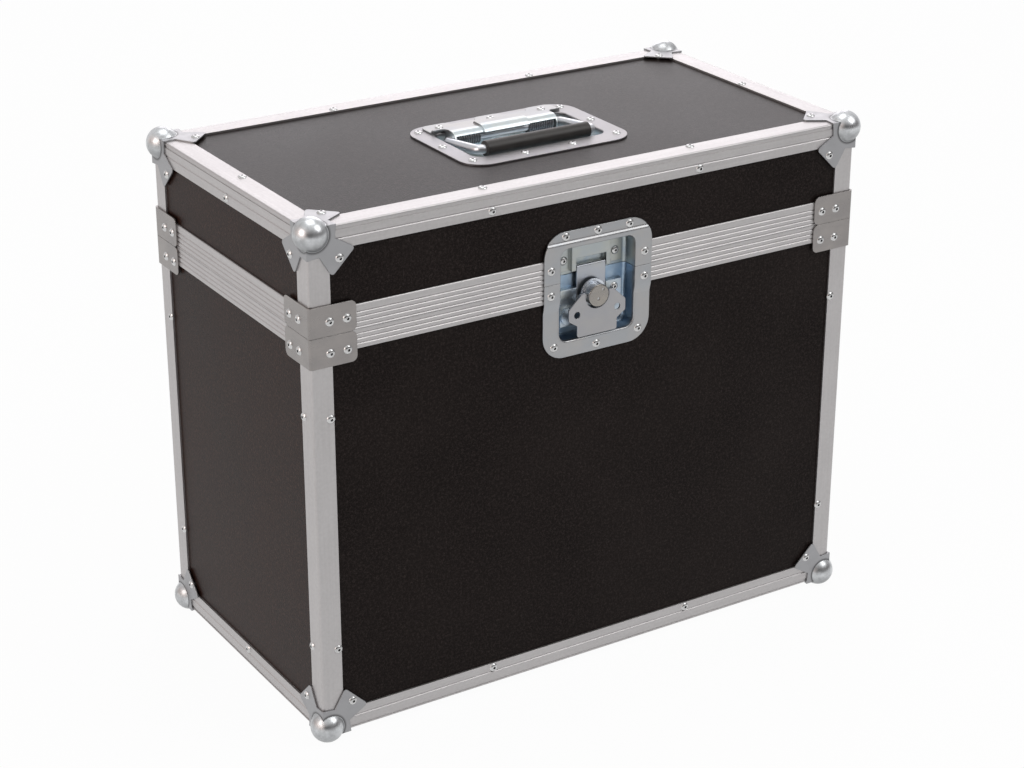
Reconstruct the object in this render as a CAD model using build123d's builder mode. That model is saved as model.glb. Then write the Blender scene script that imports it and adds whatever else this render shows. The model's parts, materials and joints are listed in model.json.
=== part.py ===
from build123d import *
import math
import os

# Lighting flight case: phenolic plywood body and hinged lid, held in aluminium profiles.
# Millimetres, X along the front, Y to the back, Z up, origin under the middle of the case.

# overall size, over the aluminium
case_width = 541.0
case_depth = 285.0
body_height = 362.0
lid_height = 90.4

# boards and aluminium profiles
panel_thickness = 7.0
skin = 1.8
inner_wall = 1.5
edge_flange = 20.0
inner_flange = 18.0
edge_radius = 1.6
edge_groove_start = 1.9
edge_groove_end = 4.4
edge_groove_depth = 0.6
edge_line_height = 11.7
v_groove_width = 1.6
v_groove_depth = 0.7
angle_flange = 19.0
angle_radius = 2.5

# closing rails, each side of the split
lid_rail_height = 21.0
body_rail_height = 16.4
rail_pitch = 4.2
lid_rail_start = 1.6
lid_rail_grooves = 4
body_rail_start = 4.0
body_rail_grooves = 3
lid_rail_bevel = 0.6
lid_web_height = 5.0
groove_depth = 6.0
tongue_length = 5.0
tongue_thickness = 3.0
tongue_side_gap = 2.0
tongue_end_gap = 12.0

# ball corners
ball_radius = 14.3
ball_inset = 6.2
ball_flat = 0.4
ball_shell = 1.4
leg_sheet = 1.3
leg_reach = 41.5
leg_shoulder = 20.5
leg_notch = 10.0
leg_tip_radius = 2.6
tab_length = 25.0
tab_taper = 1.0

# corner braces
brace_height = 26.0
brace_reach = 40.7
brace_sheet = 1.5
brace_radius = 5.0
split_gap = 0.3
slack = 0.01

# rivets
rivet_head_radius = 3.9
rivet_head_height = 1.5
rivet_bore = 1.2
rivet_bore_depth = 1.1
rivet_lip = 0.4
rivet_shank_radius = 1.9
rivet_shank_length = 6.0
rivet_end_gap = 0.3
edge_rivet_spacing = 206.0
edge_rivet_inset = 15.5
angle_rivet_inset = 16.0
angle_rivet_low = 80.0
angle_rivet_high = 290.0
leg_rivet_inset = 27.5
brace_rivet_near = 16.9
brace_rivet_far = 32.4
brace_rivet_up = 11.8
brace_rivet_down = 14.9

# latch dish, heights are from the split
dish_sheet = 1.5
dish_half_width = 53.9
dish_top = 43.9
dish_bottom = 68.2
dish_radius = 21.0
dish_bend = 33.4
dish_bend_step = 1.5
dish_bend_run = 1.9
dish_step = 17.2
dish_step_run = 8.0
dish_fold_radius = 2.5
pan_half_width = 37.5
pan_top = 28.9
pan_bottom = 54.0
pan_radius = 8.0
pan_depth = 14.5
pan_floor_radius = 3.0
pan_rim_radius = 1.4
cut_clearance = 0.6
dish_rivet_top = 39.4
dish_rivet_top_x = 32.0
dish_rivet_side_x = 47.0
dish_rivet_side_up = 12.2
dish_rivet_side_down = 10.0
dish_rivet_low = 57.5
dish_rivet_low_x = 42.7
dish_rivet_lowest = 62.4

# latch knob, cam, hook and wing, depths are from the front of the aluminium
knob_drop = 17.9
knob_radius = 9.9
knob_proud = 3.0
washer_radius = 12.4
washer_front = 5.5
washer_back = 7.0
cam_radius = 8.5
cam_throw = 3.0
cam_back = 12.5
shaft_radius = 4.0
running_gap = 0.06
wing_front = -0.5
wing_sheet = 1.5
wing_notch_radius = 12.0
wing_shoulder_half = 16.2
wing_shoulder_up = 2.7
wing_ear_half = 28.6
wing_ear_top = 8.9
wing_ear_bottom = 19.1
wing_tab_half = 20.0
wing_neck = 24.6
wing_length = 35.0
wing_hole_radius = 3.1
wing_hole_half = 20.2
wing_hole_drop = 14.6
pin_radius = 1.2
pin_depth = 2.6
pin_end_gap = 0.3
knob_edge = 0.9
knob_marks = ((4.0, 5.0), (-0.5, -2.8))
knob_mark_radius = 1.4
knob_mark_depth = 0.7
cam_end_gap = 0.1
wing_corner_radius = 2.0
knuckle_radius = 2.4
knuckle_start = 10.3
hook_front = 9.6
hook_sheet = 1.5
hook_half_width = 14.4
hook_top = 5.9
hook_bottom = 34.5
hook_lip_radius = 1.5
cam_gap = 0.85
cam_side_gap = 0.3
base_sheet = 1.5
base_half_width = 32.0
base_top = 12.0
base_bottom = 45.0
pad_front = 9.5
pad_half_width = 31.0
pad_guide_gap = 0.4
pad_stud_radius = 7.2
pad_stud_front = 7.6
pad_stud_x = 23.6
pad_stud_drop = 36.0
pad_screw_x = 23.4
pad_screw_drop = 18.2
catch_sheet = 1.5
catch_half_width = 33.0
catch_bottom = 3.2
catch_top = 25.0
catch_raised_half = 19.5
catch_raised_front = 9.5
catch_slot_half = 15.2
catch_slot_top = 14.2
catch_bar_height = 4.0
catch_rivet_x = 26.0
catch_rivet_up = 13.0

# carrying handle, set into the lid
handle_y = -18.5
handle_half_width = 83.0
handle_half_depth = 59.5
handle_radius = 22.0
handle_sheet = 1.5
handle_pan_half = 66.0
handle_pan_front = -57.0
handle_pan_back = 18.0
handle_pan_radius = 9.0
handle_pan_depth = 22.0
handle_floor_radius = 4.0
handle_rim_radius = 1.2
grip_edge = 0.8
pivot_y = 8.0
pivot_drop = 5.0
rod_radius = 4.0
bail_half_width = 58.0
bail_bend = 6.0
grip_y = -47.0
grip_up = 2.5
grip_radius = 7.0
grip_length = 104.0
hump_radius = 8.4
hump_centre_radius = 9.9
hump_centre_half = 23.0
hump_half = 52.4
hump_lip_up = 4.7
hump_crease = 10.5
hump_fall = 2.0
hump_end_half = 64.8
arch_back = 17.0
arch_radius = 4.5
bracket_half = 66.5
bracket_waist = 31.5
bracket_back = 37.5
bracket_tab_half = 13.5
bracket_tab_radius = 6.0
bracket_rivet_x = 52.5
bracket_rivet_y = 28.0
handle_row_front = -67.0
handle_front_x = 24.0
handle_corner_y = -61.5
handle_corner_x = 72.5
handle_side_x = 75.5
handle_side_y = -17.0
handle_back_x = 73.0
handle_back_y = 28.5
cheek_thickness = 1.5
cheek_gap = 0.5
spring_wire = 1.6
spring_gap = 0.5
spring_pitch = 2.3
spring_turns = 11
spring_start = 24.2

# back hinges
hinge_inset = 100.5
hinge_half_width = 30.0
hinge_leaf_height = 34.0
hinge_leaf_sheet = 2.0
hinge_leaf_radius = 4.0
hinge_axis_out = 4.2
hinge_pin_radius = 2.0
hinge_knuckle_radius = 4.0
hinge_stop_angle = 100.0
hinge_stop_reach = 8.2
hinge_lug_half = 5.0
hinge_centre_half = 12.0
hinge_stop_sheet = 2.4
hinge_stop_gap = 0.2
hinge_knuckle_gap = 0.25
hinge_rivet_x = 22.0
hinge_rivet_z = 24.0

# foam inside
wall_foam = 10.0
base_foam = 25.0
lid_foam = 20.0
foam_gap = 1.0

# levels and depths worked out from the sizes above
slot = skin + panel_thickness
web = slot + inner_wall
z_bottom = ball_radius - ball_inset - ball_flat
z_split = z_bottom + body_height
z_top = z_split + lid_height
half_width = case_width / 2
half_depth = case_depth / 2
half_gap = split_gap / 2
hinge_x = half_width - hinge_inset
up = Vector(0, 0, 1)
outward = {
    "front": Vector(0, -1, 0),
    "right": Vector(1, 0, 0),
    "back": Vector(0, 1, 0),
    "left": Vector(-1, 0, 0),
}
reach = {"front": half_depth, "right": half_width, "back": half_depth, "left": half_width}
half_run = {"front": half_width, "right": half_depth, "back": half_width, "left": half_depth}
sides = list(outward)
body_panel_base = z_bottom + web
body_panel_top = z_split - groove_depth - inner_wall
lid_panel_base = z_split + lid_web_height + inner_wall
lid_panel_top = z_top - web
knob_z = z_split - knob_drop
handle_top = z_top - skin + handle_sheet
pivot_z = handle_top - pivot_drop
hinge_y = half_depth + hinge_axis_out

os.makedirs("parts", exist_ok=True)


def finish(piece, name):
    piece.label = name
    export_step(piece, f"parts/{name}.step")


def section_plane(side, z):
    # across a bar on one side: x runs inward from its outer face, y runs up
    inward = -outward[side]
    return Plane(origin=outward[side] * reach[side] + up * z, x_dir=inward, z_dir=inward.cross(up))


def face_plane(side, run, z, depth=0.0):
    # on the face of one side, looking out; depth counts inward from the aluminium
    along = (-outward[side]).cross(up)
    origin = outward[side] * (reach[side] - depth) + along * run + up * z
    return Plane(origin=origin, x_dir=along, z_dir=outward[side])


def front_plane(depth, z=z_split):
    return Plane(origin=(0, -half_depth + depth, z), x_dir=(1, 0, 0), z_dir=(0, -1, 0))


def corner_planes(z, facing):
    # at the four upright corners, x and y both running inward and z along facing
    planes = []
    for x_in in (Vector(1, 0, 0), Vector(-1, 0, 0)):
        for y_in in (Vector(0, 1, 0), Vector(0, -1, 0)):
            origin = (-x_in.X * half_width, -y_in.Y * half_depth, z)
            right_handed = x_in.cross(y_in).Z * facing > 0
            planes.append(Plane(origin=origin, x_dir=x_in if right_handed else y_in, z_dir=(0, 0, facing)))
    return planes


def bar_box(x0, x1, y0, y1, mode=Mode.ADD):
    # a rectangle between two corners, in the sketch that is open
    with Locations(((x0 + x1) / 2, (y0 + y1) / 2)):
        Rectangle(abs(x1 - x0), abs(y1 - y0), mode=mode)


def block(x0, x1, y0, y1, z0, z1, mode=Mode.ADD):
    # a box between two corners, in the part that is open
    with Locations(((x0 + x1) / 2, (y0 + y1) / 2, (z0 + z1) / 2)):
        Box(x1 - x0, y1 - y0, z1 - z0, mode=mode)


def v_groove(height):
    # a fine line along the outer face of a profile
    half = v_groove_width / 2
    corners = ((0, height - half), (v_groove_depth, height), (0, height + half))
    Polygon(*corners, align=None, mode=Mode.SUBTRACT)


# where the rivets sit: planes whose z looks out of the surface
def pair(side, inset, z, depth=0.0):
    run = half_run[side] - inset
    return [face_plane(side, end * run, z, depth) for end in (-1, 1)]


def edge_row(side, z):
    if side in ("left", "right"):
        return [face_plane(side, 0, z)]
    return [face_plane(side, end * edge_rivet_spacing / 2, z) for end in (-1, 1)]


def level_rivets(z, facing):
    planes = []
    x_edge = half_width - edge_rivet_inset
    y_edge = half_depth - edge_rivet_inset
    x_leg = half_width - leg_rivet_inset
    y_leg = half_depth - leg_rivet_inset
    for end in (-1, 1):
        planes.append(Plane(origin=(end * x_edge, 0, z), z_dir=(0, 0, facing)))
        for row in (-1, 1):
            x = end * edge_rivet_spacing / 2
            planes.append(Plane(origin=(x, row * y_edge, z), z_dir=(0, 0, facing)))
            place = (end * x_leg, row * y_leg, z + facing * leg_sheet)
            planes.append(Plane(origin=place, z_dir=(0, 0, facing)))
    return planes


body_rivets = {}
lid_rivets = {}
for side in sides:
    body_rivets[side] = edge_row(side, z_bottom + edge_rivet_inset)
    body_rivets[side] += pair(side, angle_rivet_inset, z_bottom + angle_rivet_low)
    body_rivets[side] += pair(side, angle_rivet_inset, z_bottom + angle_rivet_high)
    body_rivets[side] += pair(side, leg_rivet_inset, z_bottom + leg_rivet_inset, -leg_sheet)
    lid_rivets[side] = edge_row(side, z_top - edge_rivet_inset)
    lid_rivets[side] += pair(side, leg_rivet_inset, z_top - leg_rivet_inset, -leg_sheet)
    for inset in (brace_rivet_near, brace_rivet_far):
        body_rivets[side] += pair(side, inset, z_split - brace_rivet_down, -brace_sheet)
        lid_rivets[side] += pair(side, inset, z_split + brace_rivet_up, -brace_sheet)
body_rivets["level"] = level_rivets(z_bottom, -1)
lid_rivets["level"] = level_rivets(z_top, 1)

# the latch dish steps back at its bend and leans back above it, and steps back again below the band
lean_start = dish_bend + dish_bend_run
lean_slope = (skin - dish_bend_step) / (dish_top - lean_start)
lean_tilt = math.degrees(math.atan(lean_slope))
lean_depth = dish_bend_step + lean_slope * (dish_rivet_top - lean_start)
for x in (-dish_rivet_top_x, 0, dish_rivet_top_x):
    place = Vector(x, -half_depth - dish_sheet + lean_depth, z_split + dish_rivet_top)
    lean = Vector(0, -1, 0).rotate(Axis.X, -lean_tilt)
    lid_rivets["front"].append(Plane(origin=place, x_dir=(1, 0, 0), z_dir=lean))
for end in (-1, 1):
    x = end * dish_rivet_side_x
    lid_rivets["front"].append(face_plane("front", x, z_split + dish_rivet_side_up, -dish_sheet))
    body_rivets["front"].append(face_plane("front", x, z_split - dish_rivet_side_down, -dish_sheet))
    low_z = z_split - dish_rivet_low
    low_depth = skin - dish_sheet
    body_rivets["front"].append(face_plane("front", end * dish_rivet_low_x, low_z, low_depth))
body_rivets["front"].append(face_plane("front", 0, z_split - dish_rivet_lowest, skin - dish_sheet))

# inside the latch, through its plates and the dish floor
catch_seat = pan_depth - catch_sheet
catch_rivets = [face_plane("front", end * catch_rivet_x, z_split + catch_rivet_up, catch_seat) for end in (-1, 1)]
lid_rivets["front"] += catch_rivets
body_rivets["front"].append(face_plane("front", pad_screw_x, z_split - pad_screw_drop, pad_front))

# through the hinge leaves
for end in (-1, 1):
    for offset in (-hinge_rivet_x, 0, hinge_rivet_x):
        x = end * hinge_x + offset
        body_rivets["back"].append(face_plane("back", x, z_split - hinge_rivet_z, -hinge_leaf_sheet))
        lid_rivets["back"].append(face_plane("back", x, z_split + hinge_rivet_z, -hinge_leaf_sheet))

# round the handle, the back row on its bracket
handle_spots = (
    (handle_front_x, handle_row_front),
    (handle_corner_x, handle_corner_y),
    (handle_side_x, handle_side_y),
    (handle_back_x, handle_back_y),
)
handle_rivets = []
for x, y in handle_spots:
    for end in (-1, 1):
        handle_rivets.append(Plane(origin=(end * x, y, handle_top), z_dir=(0, 0, 1)))
bracket_seat = handle_top + handle_sheet
for x in (-bracket_rivet_x, 0, bracket_rivet_x):
    handle_rivets.append(Plane(origin=(x, bracket_rivet_y, bracket_seat), z_dir=(0, 0, 1)))
lid_rivets["level"] += handle_rivets


def rivet_holes(piece, planes):
    # bores in the piece that is open, for the shanks that reach it, a little deeper than they are
    drop = rivet_shank_length + rivet_end_gap
    box = piece.part.bounding_box()
    spots = []
    for plane in planes:
        tip = plane.origin - plane.z_dir * drop
        near = [max(a, b) > low - rivet_shank_radius for a, b, low in zip(plane.origin, tip, box.min)]
        near += [min(a, b) < high + rivet_shank_radius for a, b, high in zip(plane.origin, tip, box.max)]
        if all(near):
            spots.append(plane.location)
    with Locations(*spots):
        Cylinder(rivet_shank_radius, drop, align=(Align.CENTER, Align.CENTER, Align.MAX), mode=Mode.SUBTRACT)


def all_planes(groups):
    return [plane for planes in groups.values() for plane in planes]


# boards
def upright_board(side, z0, z1, rivets):
    # front and back boards run right across, the side boards fit between them
    end = skin if side in ("front", "back") else slot
    with BuildPart() as board:
        with BuildSketch(section_plane(side, z0)):
            bar_box(skin, slot, 0, z1 - z0)
        extrude(amount=half_run[side] - end, both=True)
        if side == "front":
            latch_cut()
        rivet_holes(board, rivets)
    return board.part


def level_board(z0, rivets):
    with BuildPart() as board:
        with BuildSketch(Plane.XY.offset(z0)):
            Rectangle(case_width - 2 * web, case_depth - 2 * web)
        extrude(amount=panel_thickness)
        rivet_holes(board, rivets)
    return board.part


def latch_cut():
    # the hole behind the latch dish, in the board or rail that is open
    edge = dish_sheet + cut_clearance
    x_cut = pan_half_width + edge
    low = z_split - pan_bottom - edge
    high = z_split + pan_top + edge
    block(-x_cut, x_cut, -half_depth - 1, -half_depth + web + 1, low, high, mode=Mode.SUBTRACT)


for side in sides:
    body_board = upright_board(side, body_panel_base, body_panel_top, body_rivets[side])
    lid_board = upright_board(side, lid_panel_base, lid_panel_top, lid_rivets[side])
    finish(body_board, f"body_{side}_panel")
    finish(lid_board, f"lid_{side}_panel")

finish(level_board(z_bottom + skin, body_rivets["level"]), "body_bottom_panel")

with BuildPart() as lid_top_panel:
    with BuildSketch(Plane.XY.offset(z_top - slot)):
        Rectangle(case_width - 2 * web, case_depth - 2 * web)
        handle_edge = handle_sheet + cut_clearance
        x_cut = handle_pan_half + handle_edge
        bar_box(-x_cut, x_cut, handle_pan_front - handle_edge, handle_pan_back + handle_edge, mode=Mode.SUBTRACT)
    extrude(amount=panel_thickness)
    rivet_holes(lid_top_panel, lid_rivets["level"])
finish(lid_top_panel.part, "lid_top_panel")


# aluminium profiles along the edges
def edge_section(sketch, facing):
    # two flanges outside, two inside that hold the boards; facing is up or down from the outer edge
    bar_box(0, skin, 0, facing * edge_flange)
    bar_box(0, edge_flange, 0, facing * skin)
    bar_box(slot, web, 0, facing * inner_flange)
    bar_box(0, inner_flange, facing * slot, facing * web)
    fillet(sketch.vertices().sort_by_distance((0, 0))[0], edge_radius)
    bar_box(0, edge_groove_depth, facing * edge_groove_start, facing * edge_groove_end, mode=Mode.SUBTRACT)
    v_groove(facing * edge_line_height)


def rail_grooves(start, count, facing):
    for line in range(count):
        v_groove(facing * (start + line * rail_pitch))


def body_rail_section():
    bar_box(0, skin, -half_gap, -body_rail_height)
    bar_box(slot, web, -half_gap, -body_rail_height)
    bar_box(0, web, -groove_depth, -groove_depth - inner_wall)
    rail_grooves(body_rail_start, body_rail_grooves, -1)


def lid_rail_section():
    bar_box(0, skin, half_gap, lid_rail_height)
    bar_box(slot, web, half_gap, lid_rail_height)
    bar_box(0, web, lid_web_height, lid_web_height + inner_wall)
    rail_grooves(lid_rail_start, lid_rail_grooves, 1)
    bevel = ((0, lid_rail_height), (lid_rail_bevel, lid_rail_height), (0, lid_rail_height - lid_rail_bevel))
    Polygon(*bevel, align=None, mode=Mode.SUBTRACT)


def mitre(side, z):
    # cut both ends of the bar that is open at 45 degrees
    plane = section_plane(side, z)
    for end in (-1, 1):
        corner = plane.origin + plane.z_dir * (end * half_run[side])
        split(bisect_by=Plane(origin=corner, z_dir=plane.z_dir * end + plane.x_dir), keep=Keep.BOTTOM)


for side in sides:
    with BuildPart() as bottom_profile:
        with BuildSketch(section_plane(side, z_bottom)) as section:
            edge_section(section, 1)
        extrude(amount=half_run[side], both=True)
        mitre(side, z_bottom)
        rivet_holes(bottom_profile, body_rivets[side] + body_rivets["level"])
    finish(bottom_profile.part, f"body_bottom_{side}_profile")

    with BuildPart() as top_profile:
        with BuildSketch(section_plane(side, z_top)) as section:
            edge_section(section, -1)
        extrude(amount=half_run[side], both=True)
        mitre(side, z_top)
        rivet_holes(top_profile, lid_rivets[side] + lid_rivets["level"])
    finish(top_profile.part, f"lid_top_{side}_profile")

    with BuildPart() as body_rail:
        with BuildSketch(section_plane(side, z_split)):
            body_rail_section()
        extrude(amount=half_run[side], both=True)
        mitre(side, z_split)
        if side == "front":
            latch_cut()
        rivet_holes(body_rail, body_rivets[side])
    finish(body_rail.part, f"body_{side}_closing_rail")

    with BuildPart() as lid_rail:
        with BuildSketch(section_plane(side, z_split)):
            lid_rail_section()
        extrude(amount=half_run[side], both=True)
        mitre(side, z_split)
        with BuildSketch(section_plane(side, z_split)):
            tongue_start = skin + tongue_side_gap
            bar_box(tongue_start, tongue_start + tongue_thickness, -tongue_length, lid_web_height)
        extrude(amount=half_run[side] - tongue_end_gap, both=True)
        if side == "front":
            latch_cut()
        rivet_holes(lid_rail, lid_rivets[side])
    finish(lid_rail.part, f"lid_{side}_closing_rail")


# upright corner angles, between the edge profiles and the closing rails
def corner_angles(z0, z1, rivets):
    with BuildPart() as angles:
        for plane in corner_planes(z0, 1):
            with BuildSketch(plane) as section:
                bar_box(0, angle_flange, 0, skin)
                bar_box(0, skin, 0, angle_flange)
                fillet(section.vertices().sort_by_distance((0, 0))[0], angle_radius)
            extrude(amount=z1 - z0)
        rivet_holes(angles, rivets)
    return angles.part


body_angle_rivets = all_planes({side: body_rivets[side] for side in sides})
lid_angle_rivets = all_planes({side: lid_rivets[side] for side in sides})
body_angle_top = z_split - body_rail_height
lid_angle_base = z_split + lid_rail_height
finish(corner_angles(z_bottom + edge_flange, body_angle_top, body_angle_rivets), "body_corner_angles")
finish(corner_angles(lid_angle_base, z_top - edge_flange, lid_angle_rivets), "lid_corner_angles")

# ball corner: a hollow ball with three legs, drawn at the origin with the case towards +x, +y, +z
with BuildPart() as ball_corner:
    leg_planes = (
        Plane(origin=(0, 0, 0), x_dir=(0, 1, 0), z_dir=(0, 0, -1)),
        Plane(origin=(0, 0, 0), x_dir=(1, 0, 0), z_dir=(0, -1, 0)),
        Plane(origin=(0, 0, 0), x_dir=(0, 0, 1), z_dir=(-1, 0, 0)),
    )
    for plane in leg_planes:
        with BuildSketch(plane) as leg:
            with BuildLine():
                Polyline(
                    (-leg_sheet, -leg_sheet),
                    (tab_length, -leg_sheet),
                    (tab_length - tab_taper, leg_notch),
                    (leg_reach, leg_shoulder),
                    (leg_shoulder, leg_reach),
                    (leg_notch, tab_length - tab_taper),
                    (-leg_sheet, tab_length),
                    close=True,
                )
            make_face()
            fillet(leg.vertices().sort_by_distance((0, 0))[-2:], leg_tip_radius)
        extrude(amount=leg_sheet)
    with Locations((ball_inset, ball_inset, ball_inset)):
        Sphere(ball_radius)
        Sphere(ball_radius - ball_shell, mode=Mode.SUBTRACT)
    block(0, 2 * leg_reach, 0, 2 * leg_reach, 0, 2 * leg_reach, mode=Mode.SUBTRACT)


def ball_corners(z, facing, rivets):
    with BuildPart() as corners:
        with Locations(*[plane.location for plane in corner_planes(z, facing)]):
            add(ball_corner.part)
        rivet_holes(corners, rivets)
        if facing > 0:
            # small flats that the case stands on
            foot = half_width + ball_radius
            block(-foot, foot, -foot, foot, -ball_radius, 0, mode=Mode.SUBTRACT)
    return corners.part


finish(ball_corners(z_bottom, 1, all_planes(body_rivets)), "body_ball_corners")
finish(ball_corners(z_top, -1, all_planes(lid_rivets)), "lid_ball_corners")

# corner brace: a bent strip round the corner, over the end of the closing rails
with BuildPart() as brace:
    with BuildSketch() as strip:
        bar_box(-brace_sheet, brace_reach, -brace_sheet, 0)
        bar_box(-brace_sheet, 0, -brace_sheet, brace_reach)
        fillet(strip.vertices().sort_by_distance((-brace_reach, -brace_reach))[0], brace_sheet + 1)
    extrude(amount=brace_height - half_gap)
    fillet(brace.edges().filter_by(Axis.Y).group_by(Axis.X)[-1], brace_radius)
    fillet(brace.edges().filter_by(Axis.X).group_by(Axis.Y)[-1], brace_radius)


def corner_braces(facing, rivets):
    with BuildPart() as braces:
        with Locations(*[plane.location for plane in corner_planes(z_split + facing * half_gap, facing)]):
            add(brace.part)
        rivet_holes(braces, rivets)
    return braces.part


finish(corner_braces(-1, body_angle_rivets), "body_corner_braces")
finish(corner_braces(1, lid_angle_rivets), "lid_corner_braces")

# blind rivets: domed head with the bore of its mandrel, and the shank behind it
with BuildPart() as rivet:
    with BuildSketch(Plane.XZ):
        with BuildLine():
            rim = (rivet_head_radius, 0)
            crown = (rivet_bore + rivet_lip, rivet_head_height)
            bore_floor = rivet_head_height - rivet_bore_depth
            Polyline((0, -rivet_shank_length), (rivet_shank_radius, -rivet_shank_length), (rivet_shank_radius, 0), rim)
            TangentArc(crown, rim, tangent=(1, 0))
            Polyline(crown, (rivet_bore, rivet_head_height), (rivet_bore, bore_floor), (0, bore_floor))
            Line((0, bore_floor), (0, -rivet_shank_length))
        make_face()
    revolve(axis=Axis.Z)


def rivet_group(planes):
    with BuildPart() as group:
        with Locations(*[plane.location for plane in planes]):
            add(rivet.part)
    return group.part


finish(rivet_group(all_planes(body_rivets)), "body_rivets")
finish(rivet_group(all_planes(lid_rivets)), "lid_rivets")


# latch dish: a pressed frame with a pan behind it, in two halves that part at the split
def on_pan_rim(edge):
    low = edge.bounding_box().min
    high = edge.bounding_box().max
    in_front = high.Y < -half_depth + skin - dish_sheet + slack
    beside = max(-low.X, high.X) < pan_half_width + slack
    level = low.Z > z_split - pan_bottom - slack and high.Z < z_split + pan_top + slack
    return in_front and beside and level


def latch_dish(keep, rivets):
    margin = 5
    back = [
        (skin + lean_slope * margin, dish_top + margin),
        (dish_bend_step, lean_start),
        (0, dish_bend),
        (0, -dish_step),
        (skin, -dish_step - dish_step_run),
        (skin, -dish_bottom - margin),
    ]
    front = [(depth - dish_sheet, height) for depth, height in reversed(back)]
    with BuildPart() as dish:
        with BuildSketch(section_plane("front", z_split)) as profile:
            with BuildLine():
                Polyline(*back, *front, close=True)
            make_face()
            fillet(profile.vertices().filter_by_position(Axis.Y, -dish_bottom, dish_top), dish_fold_radius)
        extrude(amount=dish_half_width, both=True)
        with BuildSketch(front_plane(-2 * dish_sheet)):
            with Locations((0, (dish_top - dish_bottom) / 2)):
                RectangleRounded(2 * dish_half_width, dish_top + dish_bottom, dish_radius)
        extrude(amount=-4 * dish_sheet, mode=Mode.INTERSECT)
        with BuildSketch(front_plane(0)):
            with Locations((0, (pan_top - pan_bottom) / 2)):
                pan_width = 2 * (pan_half_width + dish_sheet)
                RectangleRounded(pan_width, pan_top + pan_bottom + 2 * dish_sheet, pan_radius + dish_sheet)
        extrude(amount=-pan_depth - dish_sheet)
        with BuildSketch(front_plane(-2 * dish_sheet)):
            with Locations((0, (pan_top - pan_bottom) / 2)):
                RectangleRounded(2 * pan_half_width, pan_top + pan_bottom, pan_radius)
        extrude(amount=-pan_depth - 2 * dish_sheet, mode=Mode.SUBTRACT)
        rim = [edge for edge in dish.edges() if on_pan_rim(edge)]
        fillet(rim, pan_rim_radius)
        floor_y = -half_depth + pan_depth
        floor_rim = dish.edges().filter_by_position(Axis.Y, floor_y - 0.01, floor_y + 0.01)
        back_y = floor_y + dish_sheet
        back_rim = dish.edges().filter_by_position(Axis.Y, back_y - 0.01, back_y + 0.01)
        fillet(floor_rim, pan_floor_radius)
        fillet(back_rim, pan_floor_radius + dish_sheet)
        gap_side = half_gap if keep == Keep.TOP else -half_gap
        split(bisect_by=Plane.XY.offset(z_split + gap_side), keep=keep)
        rivet_holes(dish, rivets)
    return dish.part


finish(latch_dish(Keep.BOTTOM, body_rivets["front"]), "latch_lower_dish")
finish(latch_dish(Keep.TOP, lid_rivets["front"]), "latch_upper_dish")

# catch plate: flat on the dish floor, with a raised, slotted middle that the hook reaches into
with BuildPart() as catch_plate:
    with BuildSketch(front_plane(pan_depth)):
        bar_box(-catch_half_width, catch_half_width, catch_bottom, catch_top)
    extrude(amount=catch_sheet)
    with BuildSketch(front_plane(pan_depth)):
        bar_box(-catch_raised_half, catch_raised_half, catch_bottom, catch_top)
    extrude(amount=pan_depth - catch_raised_front)
    with BuildSketch(front_plane(pan_depth - catch_sheet)):
        inner_half = catch_raised_half - catch_sheet
        bar_box(-inner_half, inner_half, 0, catch_top - catch_sheet)
    extrude(amount=pan_depth - catch_raised_front - 2 * catch_sheet, mode=Mode.SUBTRACT)
    with BuildSketch(front_plane(catch_raised_front)):
        bar_box(-catch_slot_half, catch_slot_half, 0, catch_slot_top)
    extrude(amount=-catch_sheet, mode=Mode.SUBTRACT)
    with BuildSketch(front_plane(pan_depth)):
        bar_box(-catch_slot_half, catch_slot_half, catch_bottom + catch_bar_height, catch_slot_top)
    extrude(amount=catch_sheet, mode=Mode.SUBTRACT)
    rivet_holes(catch_plate, lid_rivets["front"])
finish(catch_plate.part, "latch_catch_plate")

# base plate: two guide pads with round studs, and the bore for the cam shaft between them
with BuildPart() as base_plate:
    with BuildSketch(front_plane(pan_depth)):
        bar_box(-base_half_width, base_half_width, -base_bottom, -base_top)
        with Locations((0, -knob_drop)):
            Circle(shaft_radius + running_gap, mode=Mode.SUBTRACT)
    extrude(amount=base_sheet)
    with BuildSketch(front_plane(pan_depth - base_sheet)):
        pad_start = hook_half_width + pad_guide_gap
        for end in (-1, 1):
            bar_box(end * pad_start, end * pad_half_width, -base_bottom, -base_top)
    extrude(amount=pan_depth - base_sheet - pad_front)
    with BuildSketch(front_plane(pad_front)):
        with Locations(*[(end * pad_stud_x, -pad_stud_drop) for end in (-1, 1)]):
            Circle(pad_stud_radius)
    extrude(amount=pad_front - pad_stud_front)
    rivet_holes(base_plate, body_rivets["front"])
finish(base_plate.part, "latch_base_plate")

# knob with its washer, turned in one piece
with BuildPart() as knob:
    with BuildSketch(front_plane(washer_back, knob_z)):
        Circle(washer_radius)
    extrude(amount=washer_back - washer_front)
    with BuildSketch(front_plane(washer_front, knob_z)):
        Circle(knob_radius)
    extrude(amount=washer_front + knob_proud)
    fillet(knob.edges().sort_by(Axis.Y)[0], knob_edge)
    with BuildSketch(front_plane(-knob_proud, knob_z)):
        with Locations(*knob_marks):
            Circle(knob_mark_radius)
    extrude(amount=-knob_mark_depth, mode=Mode.SUBTRACT)
    with BuildSketch(Plane(origin=(0, -half_depth + pin_depth, knob_z), z_dir=(1, 0, 0))):
        Circle(pin_radius)
    extrude(amount=knob_radius, both=True, mode=Mode.SUBTRACT)
finish(knob.part, "latch_knob")

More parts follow.
